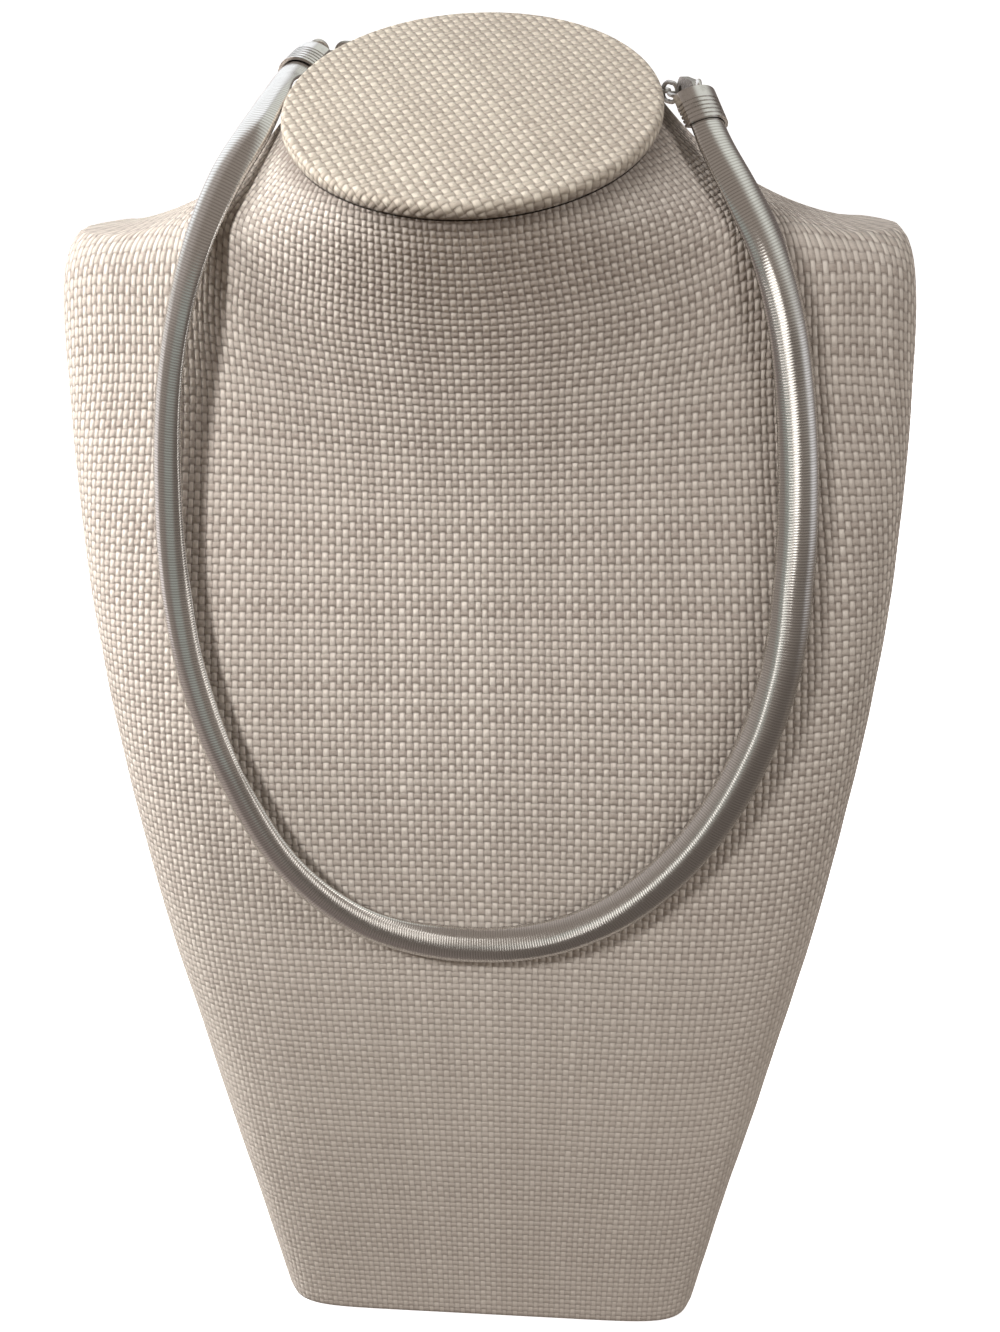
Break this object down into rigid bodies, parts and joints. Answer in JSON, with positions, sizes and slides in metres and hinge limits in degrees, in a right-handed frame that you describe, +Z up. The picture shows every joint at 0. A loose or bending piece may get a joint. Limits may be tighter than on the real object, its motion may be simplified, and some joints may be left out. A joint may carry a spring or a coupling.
{
  "type": "omega necklace on a linen neck bust",
  "caption": "Silver-toned omega necklace: domed ribbed band, ribbed end caps, plain clasp and extender chain, worn on a linen-covered neck bust with a tilted round top.",
  "frame": {"origin": "middle of the bust's flat base, on the surface it stands on", "axes": "+Z up, the chest and the necklace's front face -Y, +X is the side of the clasp"},
  "size_m": [0.1578, 0.0749, 0.2635],
  "materials": {
    "linen": "coarse plain-weave linen, warm grey-beige, matte",
    "linen_cap": "coarse plain-weave linen, light cream-beige, matte",
    "band_metal": "polished silver tone with very fine ribs across",
    "cap_metal": "polished silver tone, grooved, darker in the grooves",
    "clasp_metal": "satin silver tone",
    "chain_metal": "silver-toned wire"
  },
  "bodies": {
    "root": {"bust_body": "linen", "neck_cap": "linen_cap", "omega_band": "band_metal", "end_cap_right": "cap_metal", "end_cap_left": "cap_metal", "jump_ring": "chain_metal", "clasp": "clasp_metal", "link_01": "chain_metal", "link_02": "chain_metal", "link_03": "chain_metal", "link_04": "chain_metal", "link_05": "chain_metal", "link_06": "chain_metal", "link_07": "chain_metal", "link_08": "chain_metal", "link_09": "chain_metal", "link_10": "chain_metal", "link_11": "chain_metal", "link_12": "chain_metal", "link_13": "chain_metal", "link_14": "chain_metal", "link_15": "chain_metal", "link_16": "chain_metal", "link_17": "chain_metal", "link_18": "chain_metal", "link_19": "chain_metal", "link_20": "chain_metal", "link_21": "chain_metal", "link_22": "chain_metal", "link_23": "chain_metal"}
  },
  "joints": []
}
